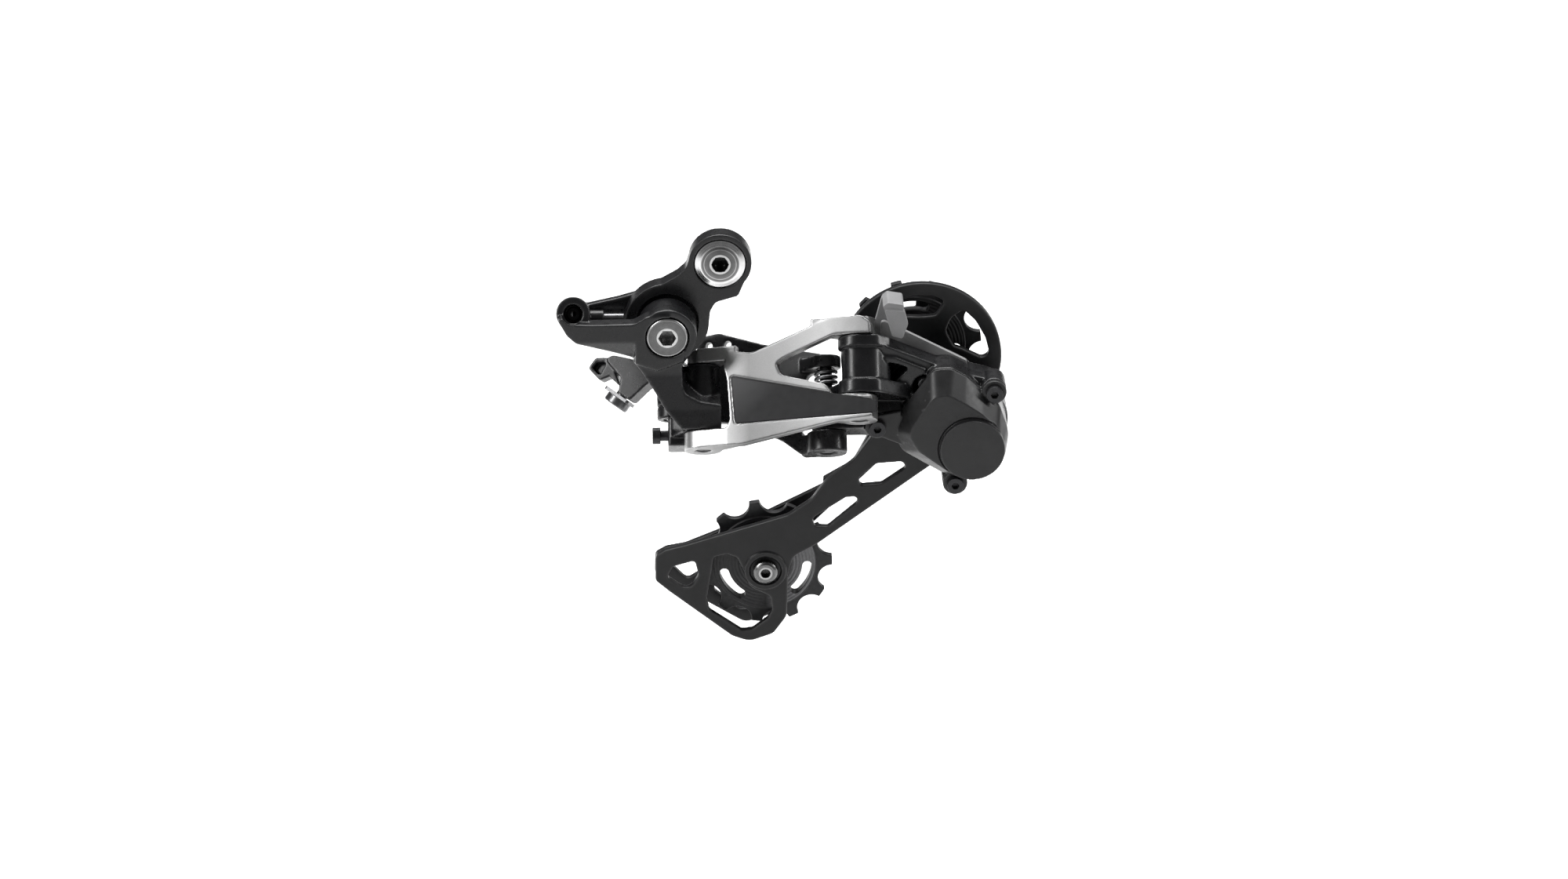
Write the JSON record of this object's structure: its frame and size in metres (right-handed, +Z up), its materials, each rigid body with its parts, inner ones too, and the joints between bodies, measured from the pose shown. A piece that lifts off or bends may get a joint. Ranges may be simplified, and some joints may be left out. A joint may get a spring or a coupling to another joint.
{
  "type": "rear derailleur",
  "caption": "Long-cage rear derailleur with a slanted parallelogram, a clutch housing with a switch lever, and a sprung cage that carries a guide pulley and a tension pulley.",
  "frame": {"origin": "on the hanger bolt's axis, at the outer face of the frame hanger that the bracket link rests on", "axes": "+X forward along the bicycle, +Y inboard towards the wheel along the hanger bolt, +Z up"},
  "size_m": [0.1472, 0.0564, 0.1544],
  "materials": {
    "cast_black": "fine-grained satin black",
    "cover_grey": "satin dark grey",
    "link_silver": "satin silver with a dark sunk panel",
    "lever_grey": "satin light grey",
    "plate_black": "satin black",
    "bolt_bright": "machined",
    "bolt_steel": "turned",
    "pin_steel": "ground",
    "spring_steel": "drawn",
    "bush_plastic": "matt",
    "pulley_plastic": "fine-grained",
    "sleeve_bronze": "sintered",
    "gasket_rubber": "matt"
  },
  "bodies": {
    "bracket": {"bracket_link": "cast_black", "hanger_bolt": "bolt_bright", "pivot_bolt": "bolt_steel"},
    "upper_knuckle": {"body": "cast_black", "housing_stop": "cast_black", "pivot_bushing": "bush_plastic", "pivot_spring": "spring_steel", "housing_liner": "bush_plastic", "outer_body_pin": "pin_steel", "inner_body_pin": "pin_steel"},
    "high_screw": {"limit_screw_high": "bolt_steel"},
    "low_screw": {"limit_screw_low": "bolt_steel"},
    "angle_screw": {"tension_screw": "bolt_steel"},
    "outer_arm": {"outer_link": "link_silver", "outer_link_bushes": "bush_plastic"},
    "inner_arm": {"inner_link": "cast_black", "inner_link_bushes": "bush_plastic", "cable_clamp_arm": "cast_black", "cable_anchor_plate": "bolt_steel", "cable_anchor_bolt": "bolt_steel"},
    "lower_knuckle": {"cage_knuckle": "cast_black", "fin_plate": "lever_grey", "clutch_cover": "cover_grey", "cover_gasket": "gasket_rubber", "cover_bolts": "bolt_steel", "roller_clutch": "pin_steel", "friction_band": "spring_steel", "outer_cage_pin": "pin_steel", "inner_cage_pin": "pin_steel", "return_spring": "spring_steel", "cage_spring": "spring_steel"},
    "clutch_switch": {"clutch_lever": "lever_grey", "lever_shaft": "pin_steel"},
    "cage": {"cage_axle": "pin_steel", "axle_clip": "spring_steel", "axle_rivet": "bolt_steel", "outer_cage_plate": "plate_black", "inner_cage_plate": "plate_black", "cage_stop_pin": "pin_steel", "guide_pulley_sleeve": "sleeve_bronze", "guide_pulley_caps": "plate_black", "guide_pulley_bolt": "bolt_steel", "tension_pulley_sleeve": "sleeve_bronze", "tension_pulley_caps": "plate_black", "tension_pulley_bolt": "bolt_steel"},
    "guide_wheel": {"guide_pulley": "pulley_plastic", "guide_pulley_bush": "bush_plastic"},
    "tension_wheel": {"tension_pulley": "pulley_plastic", "tension_pulley_bush": "bush_plastic"}
  },
  "joints": [
    {"name": "body_pivot", "type": "hinge", "parent": "bracket", "child": "upper_knuckle", "pos_m": [-0.0173, -0.009, -0.0206], "axis": [0, 1, 0], "range_deg": [0, 30], "stiffness_Nm_per_rad": 0.4, "springref_deg": -57.3},
    {"name": "outer_link_swing", "type": "hinge", "parent": "upper_knuckle", "child": "outer_arm", "pos_m": [-0.006, -0.00874, -0.04774], "axis": [0, 0.6157, 0.788], "range_deg": [0, 40], "stiffness_Nm_per_rad": 0.5, "springref_deg": -34.38},
    {"name": "inner_link_swing", "type": "hinge", "parent": "upper_knuckle", "child": "inner_arm", "pos_m": [-0.016, 0.00598, -0.05163], "axis": [0, 0.6157, 0.788], "range_deg": [0, 40]},
    {"name": "knuckle_pivot", "type": "hinge", "parent": "outer_arm", "child": "lower_knuckle", "pos_m": [0.0443, -0.01708, -0.03234], "axis": [0, 0.6157, 0.788], "range_deg": [-40, 0]},
    {"name": "cage_swing", "type": "hinge", "parent": "lower_knuckle", "child": "cage", "pos_m": [0.0812, 0, -0.0573], "axis": [0, -1, 0], "range_deg": [0, 90], "stiffness_Nm_per_rad": 0.3, "springref_deg": -85.94},
    {"name": "guide_pulley_spin", "type": "hinge", "parent": "cage", "child": "guide_wheel", "pos_m": [0.0635, 0.013, -0.0375], "axis": [0, 1, 0], "continuous": true},
    {"name": "tension_pulley_spin", "type": "hinge", "parent": "cage", "child": "tension_wheel", "pos_m": [0.0147, 0.013, -0.1176], "axis": [0, 1, 0], "continuous": true},
    {"name": "lever_swing", "type": "hinge", "parent": "lower_knuckle", "child": "clutch_switch", "pos_m": [0.066, -0.008, -0.038], "axis": [0, 1, 0], "range_deg": [0, 40]},
    {"name": "high_screw_travel", "type": "slide", "parent": "upper_knuckle", "child": "high_screw", "axis": [1, 0, 0], "range_m": [-0.002, 0]},
    {"name": "low_screw_travel", "type": "slide", "parent": "upper_knuckle", "child": "low_screw", "axis": [1, 0, 0], "range_m": [-0.002, 0]},
    {"name": "angle_screw_travel", "type": "slide", "parent": "upper_knuckle", "child": "angle_screw", "axis": [1, 0, 0], "range_m": [-0.002, 0]}
  ],
  "couplings": [
    {"joint": "inner_link_swing", "follows": "outer_link_swing", "ratio": 1},
    {"joint": "knuckle_pivot", "follows": "outer_link_swing", "ratio": -1}
  ]
}
